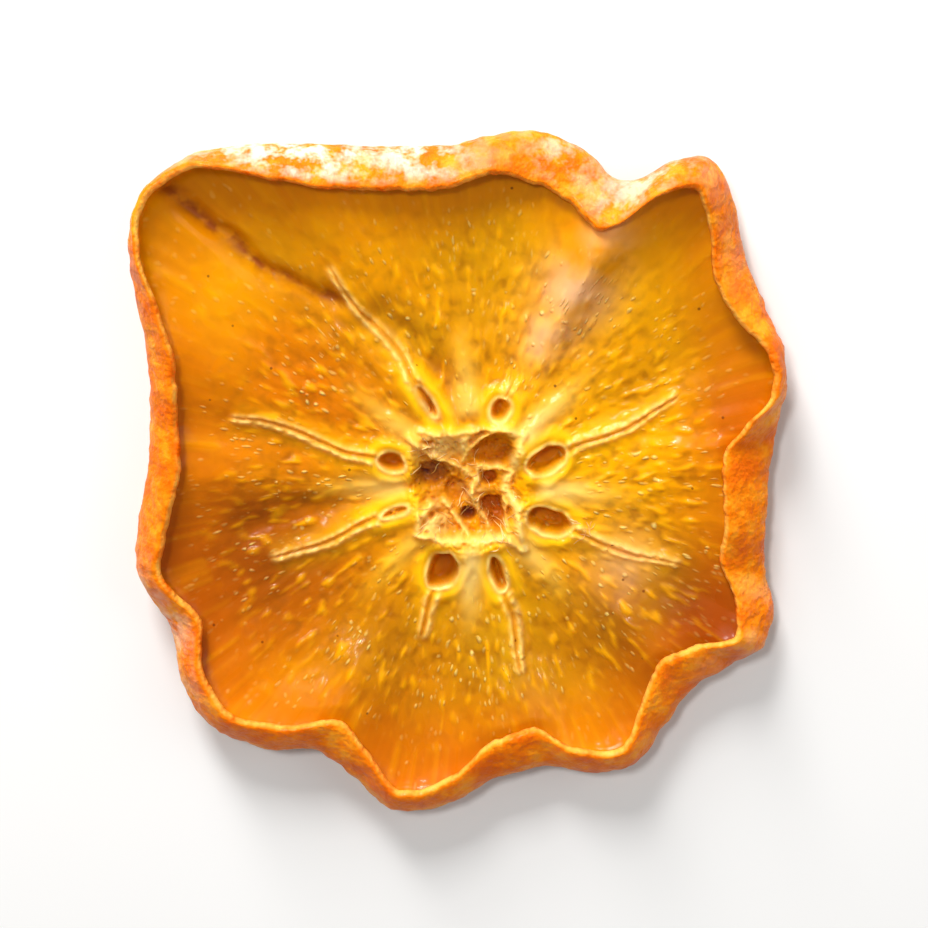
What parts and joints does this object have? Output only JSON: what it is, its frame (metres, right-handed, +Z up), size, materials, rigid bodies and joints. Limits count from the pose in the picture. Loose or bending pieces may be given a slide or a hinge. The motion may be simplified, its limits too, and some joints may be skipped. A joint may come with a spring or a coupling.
{
  "type": "dried persimmon slice",
  "caption": "Dried cross slice of persimmon: thin curled amber flesh with a star of seed chambers round a torn core and a scalloped, rolled rim of peel. Lies flat as food or garnish.",
  "frame": {"origin": "under the middle of the core, on the surface the slice rests on", "axes": "+Z up out of the cut face, +Y towards the side that is at the top in the picture, +X towards the side that is at the right"},
  "size_m": [0.0599, 0.0648, 0.0089],
  "materials": {
    "dried_flesh": "amber, translucent, slightly sticky gloss on the cut face; satin orange peel round the rim"
  },
  "bodies": {
    "root": {"persimmon_slice": "dried_flesh"}
  },
  "joints": []
}
